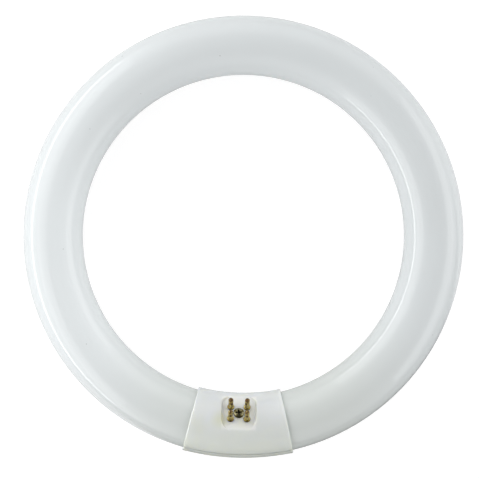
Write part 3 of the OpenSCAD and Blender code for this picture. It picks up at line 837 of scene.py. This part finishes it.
def screw_plating(looks):
    """Yellowish zinc plating, dulled in patches, with painted shade round the rim and in the cross recess.

    A place is in the recess where it lies below the dome, which falls from its top by the
    square of the distance out over twice the dome's radius.
    """
    shade = new_shade("screw_plating")
    x, u, v = shade.pin_frame()
    out = hypotenuse(x, u)
    patch = shade.ramp(shade.noise(1100.0, 3.0), 0.4, 0.65)
    colour = shade.mix(patch, tuple(looks.screw), ZINC_DULL)
    below = (LAND_V + HEAD_H) - out * out / (2 * DOME_R) - v
    recess = shade.ramp(below, *RECESS_FADE) * (1 - shade.ramp(out, *RECESS_EDGE))
    # Painted shade round the head's rim
    colour = shade.mix(shade.ramp(out, *HEAD_RIM_SHADE_FADE) * 0.9, colour, HEAD_RIM_SHADE)
    # Painted shade in the cross recess
    colour = shade.mix(recess, colour, RECESS_SHADE)
    return shade.surface(
        Base_Color=colour, Metallic=1.0, Roughness=0.24 + patch * 0.14 + recess * 0.3,
        Normal=shade.bump(shade.noise(3000.0, 2.0), 0.2, 0.00003))


def wire_metal(looks):
    """Bare lead wire with a dull oxide haze."""
    shade = new_shade("wire_metal")
    base = tuple(looks.wire)
    patch = shade.ramp(shade.noise(800.0, 3.0), 0.4, 0.65)
    return shade.surface(
        Base_Color=shade.mix(patch, base, scaled(base, 0.7)), Metallic=1.0, Roughness=0.3 + patch * 0.2)


# ---------------------------------------------------------------- stage

def light_wall(name, start, end, heights, glow, on_matt):
    """An upright veil of light between two floor points; it glows and hides nothing behind it."""
    (x0, y0), (x1, y1), (low, high) = start, end, heights
    obj = placed(name, [(x0, y0, low), (x1, y1, low), (x1, y1, high), (x0, y0, high)], [(0, 1, 2, 3)])
    shade = new_shade(name)
    height = shade.node("ShaderNodeSeparateXYZ", None, {0: shade.coords()}, output="Z")
    light = shade.light(shade.ramp(height, low, high, *glow))
    obj.data.materials.append(shade.end(shade.both(light, shade.node("ShaderNodeBsdfTransparent"))))
    obj.visible_camera = False
    obj.visible_diffuse = on_matt


def floor_material():
    """A pale floor, white to the camera, with a soft shadow; gloss sees a painted shadow in front of the lamp.
    """
    shade = new_shade("floor")
    camera, gloss, through = (
        shade.node("ShaderNodeLightPath", output="Is %s Ray" % kind)
        for kind in ("Camera", "Glossy", "Transmission"))
    # Painted shadow on the floor in front of the lamp, seen only by gloss
    bare = 1 - shade.ramp(shade.along(FLOOR_SHADOW_WAY), *FLOOR_SHADOW_EDGE)
    surface = shade.node("ShaderNodeBsdfDiffuse", None, {"Color": scaled(WHITE, FLOOR_PAINT)})
    seen_by = (
        (gloss.math("MAXIMUM", gloss, through), bare * BARE_PAINT + FLOOR_SHADOW_PAINT, bare * BARE_GLOW),
        (camera, CAMERA_PAINT, CAMERA_GLOW))
    for ray, paint, glow in seen_by:
        shown = shade.node("ShaderNodeCombineColor", None, {0: paint, 1: paint, 2: paint})
        soft = shade.node("ShaderNodeBsdfDiffuse", None, {"Color": shown})
        lit = shade.both(soft, shade.light(glow))
        surface = shade.node("ShaderNodeMixShader", None, {0: ray, 1: surface, 2: lit})
    return shade.end(surface)


def sky_material(world, around, above, lean):
    """Soft light from all round, weaker straight above and leaning to one side; the camera sees it as white."""
    shade = Shade(world)
    way = shade.node("ShaderNodeTexCoord", output="Generated")
    up = shade.node("ShaderNodeSeparateXYZ", None, {0: way}, output="Z")
    even = shade.ramp(up, *ZENITH_FADE, around, above)
    side = shade.node("ShaderNodeVectorMath", {"operation": "DOT_PRODUCT"}, {0: way, 1: lean}, output="Value")
    sky, white = (
        shade.node("ShaderNodeBackground", None, {"Color": WHITE, "Strength": strength})
        for strength in (side * even + even, 1.0))
    camera = shade.node("ShaderNodeLightPath", output="Is Camera Ray")
    shade.end(shade.node("ShaderNodeMixShader", None, {0: camera, 1: sky, 2: white}), "ShaderNodeOutputWorld")


# ---------------------------------------------------------------- operators

class LAMP_OT_glass(bpy.types.Operator):
    """Make the coated glass ring"""
    bl_idname = "lamp.glass"
    bl_label = "Glass ring"

    def execute(self, context):
        glass = glass_ring(context.scene.lamp_sizes.glass_radius * MM)
        finish_piece(glass, coated_glass(context.scene.lamp_looks), "glass_tube", "glass_tube")
        return {"FINISHED"}


class LAMP_OT_cap(bpy.types.Operator):
    """Make the two shells of the cap and the mark of the moulding gate"""
    bl_idname = "lamp.cap"
    bl_label = "Cap shells"

    def execute(self, context):
        looks, lip = context.scene.lamp_looks, context.scene.lamp_sizes.lip_height * MM
        plastic = cap_plastic(looks, "cap_plastic", CAP_SOFTNESS)
        finish_piece(front_shell(lip), plastic, "cap_plastic", "front_cap_shell")
        finish_piece(rear_shell(lip), plastic, "cap_plastic", "rear_cap_shell")
        finish_piece(gate_vestige(), cap_plastic(looks, "gate_plastic", 0.0), "cap_plastic")
        return {"FINISHED"}


class LAMP_OT_pins(bpy.types.Operator):
    """Make the four crimped contact pins"""
    bl_idname = "lamp.pins"
    bl_label = "Contact pins"

    def execute(self, context):
        brass = pin_brass(context.scene.lamp_looks)
        depth = context.scene.lamp_sizes.crimp_depth * MM
        for node, (x, u, turn) in PINS.items():
            piece = pin_mesh(node.replace("contact_pin", "brass_pin"), x, u, turn, depth)
            finish_piece(piece, brass, "pin_brass", node)
        return {"FINISHED"}


class LAMP_OT_screw(bpy.types.Operator):
    """Make the screw that holds the shells together"""
    bl_idname = "lamp.screw"
    bl_label = "Cap screw"

    def execute(self, context):
        finish_piece(screw_mesh(), screw_plating(context.scene.lamp_looks), "screw_steel", "cap_screw")
        return {"FINISHED"}


class LAMP_OT_wires(bpy.types.Operator):
    """Give the lead wires inside the cap their finish"""
    bl_idname = "lamp.wires"
    bl_label = "Lead wires"

    def execute(self, context):
        metal = wire_metal(context.scene.lamp_looks)
        for name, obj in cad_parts.items():
            if name.startswith("lead_wire"):
                obj.data.materials.clear()
                obj.data.materials.append(metal)
        return {"FINISHED"}


class LAMP_OT_stage(bpy.types.Operator):
    """Make the floor, the lights and the camera"""
    bl_idname = "lamp.stage"
    bl_label = "Stage"

    def execute(self, context):
        scene, stage = context.scene, context.scene.lamp_stage
        corners = [(x * FLOOR_HALF, y * FLOOR_HALF, 0) for x, y in ((-1, -1), (1, -1), (1, 1), (-1, 1))]
        floor = placed("floor", corners, [(0, 1, 2, 3)])
        floor.location.z = CAD_BOX[0].z - FLOOR_DROP
        floor.data.materials.append(floor_material())
        for name, wall in WALLS.items():
            light_wall(name, *wall)
        scene.world = bpy.data.worlds.new("sky")
        sky_material(scene.world, stage.sky, stage.zenith, SKY_LEAN)
        data = bpy.data.cameras.new("camera")
        data.lens, data.sensor_width = stage.focal_length, SENSOR_WIDTH
        data.clip_start, data.clip_end = CLIP
        camera = bpy.data.objects.new("camera", data)
        scene.collection.objects.link(camera)
        aside = Matrix.Rotation(stage.camera_turn, 3, "Z") @ Vector(CAMERA_ASIDE)
        camera.location = (aside.x, aside.y, RING_Z / MM + stage.camera_height)
        camera.rotation_euler = (0, 0, stage.camera_turn)
        scene.camera = camera
        scene.view_settings.view_transform = "Standard"
        return {"FINISHED"}


class LAMP_PT_panel(bpy.types.Panel):
    """Lists the lamp's sizes, colours and steps"""
    bl_idname = "LAMP_PT_panel"
    bl_label = "Ring Lamp"
    bl_space_type = "VIEW_3D"
    bl_region_type = "UI"
    bl_category = "Ring Lamp"

    def draw(self, context):
        for group in (context.scene.lamp_sizes, context.scene.lamp_looks, context.scene.lamp_stage):
            box = self.layout.box()
            for key in group.__annotations__:
                box.prop(group, key)
        for step in STEPS:
            self.layout.operator(step.bl_idname)


STEPS = (LAMP_OT_glass, LAMP_OT_cap, LAMP_OT_pins, LAMP_OT_screw, LAMP_OT_wires, LAMP_OT_stage)
CLASSES = (LampSizes, LampLooks, StageSettings) + STEPS + (LAMP_PT_panel,)


def register():
    for item in CLASSES:
        bpy.utils.register_class(item)
    bpy.types.Scene.lamp_sizes = PointerProperty(type=LampSizes)
    bpy.types.Scene.lamp_looks = PointerProperty(type=LampLooks)
    bpy.types.Scene.lamp_stage = PointerProperty(type=StageSettings)


def unregister():
    del bpy.types.Scene.lamp_sizes, bpy.types.Scene.lamp_looks, bpy.types.Scene.lamp_stage
    for item in reversed(CLASSES):
        bpy.utils.unregister_class(item)


def main():
    """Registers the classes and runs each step."""
    register()
    bpy.ops.lamp.glass()
    bpy.ops.lamp.cap()
    bpy.ops.lamp.pins()
    bpy.ops.lamp.screw()
    bpy.ops.lamp.wires()
    bpy.ops.lamp.stage()


if __name__ == "__main__":
    main()
